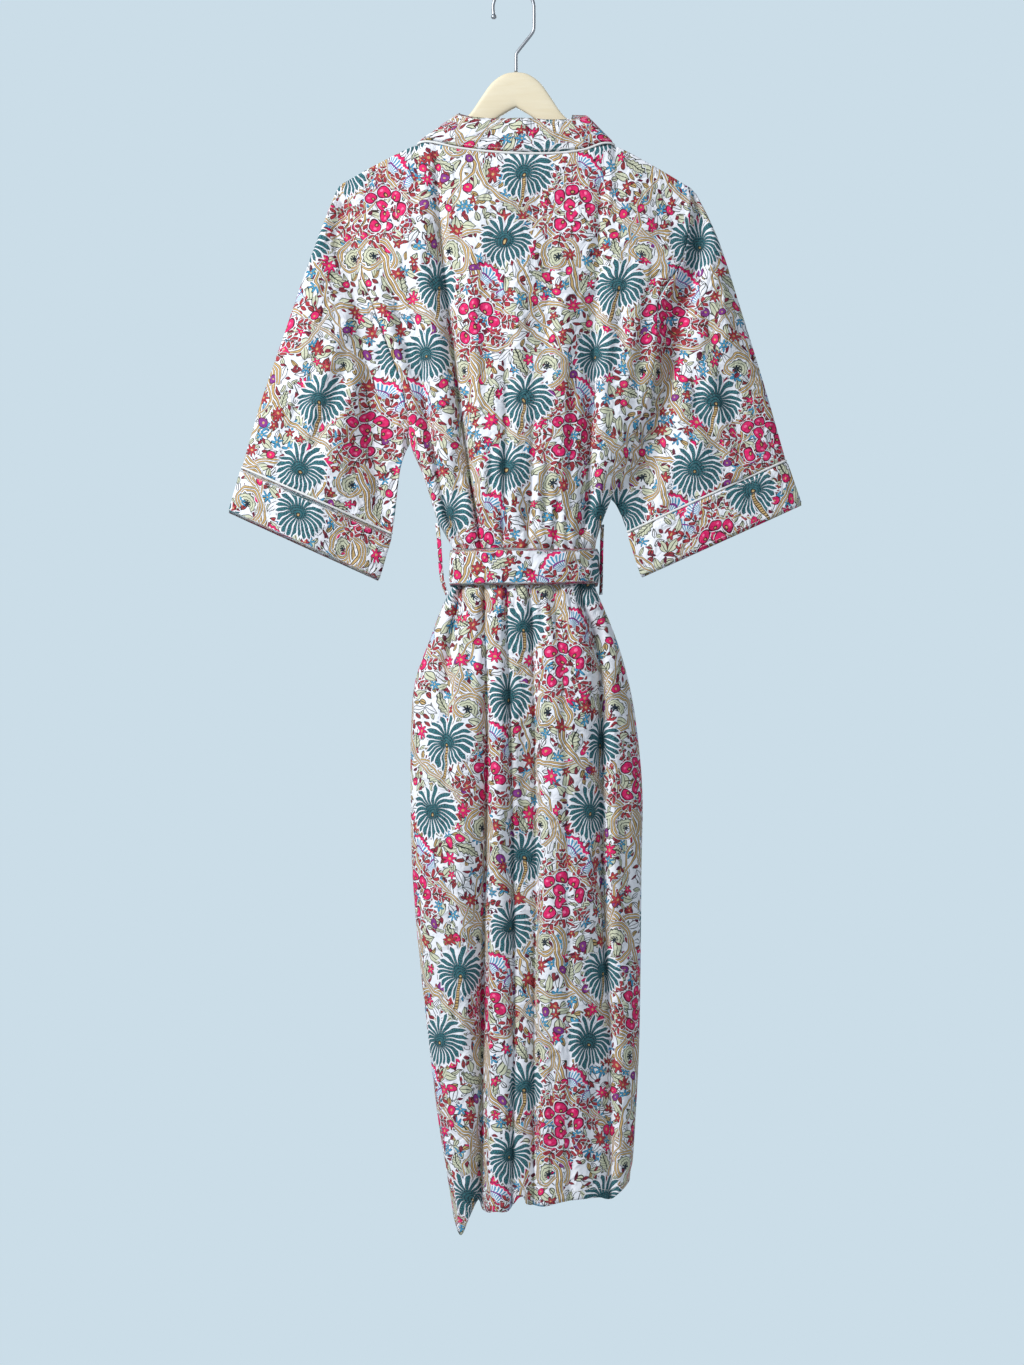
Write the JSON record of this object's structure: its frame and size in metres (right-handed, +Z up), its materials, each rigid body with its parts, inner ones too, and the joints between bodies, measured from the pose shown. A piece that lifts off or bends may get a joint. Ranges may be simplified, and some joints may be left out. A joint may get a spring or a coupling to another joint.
{
  "type": "kimono robe on a clothes hanger",
  "caption": "Cotton kimono robe in a floral block print, tied at the waist and hung on a wooden clothes hanger.",
  "frame": {"origin": "inside top of the hanger's hook, where the rail or peg carries it", "axes": "+Z up, the robe's back faces -Y and its front +Y, its left side is at -X"},
  "size_m": [0.69, 0.1274, 1.4931],
  "materials": {
    "print_cotton": "matte",
    "piping_cotton": "matte",
    "hanger_wood": "satin",
    "hook_steel": "satin"
  },
  "bodies": {
    "root": {"back": "print_cotton", "left_front": "print_cotton", "right_front": "print_cotton", "left_sleeve": "print_cotton", "right_sleeve": "print_cotton", "left_cuff": "print_cotton", "right_cuff": "print_cotton", "left_cuff_piping": "piping_cotton", "right_cuff_piping": "piping_cotton", "collar_band": "print_cotton", "collar_piping": "piping_cotton", "belt": "print_cotton", "belt_knot": "print_cotton", "belt_tail_left": "print_cotton", "belt_tail_right": "print_cotton", "belt_loop_left": "print_cotton", "belt_loop_right": "print_cotton", "hanger_bar": "hanger_wood", "hanger_hook": "hook_steel"}
  },
  "joints": []
}
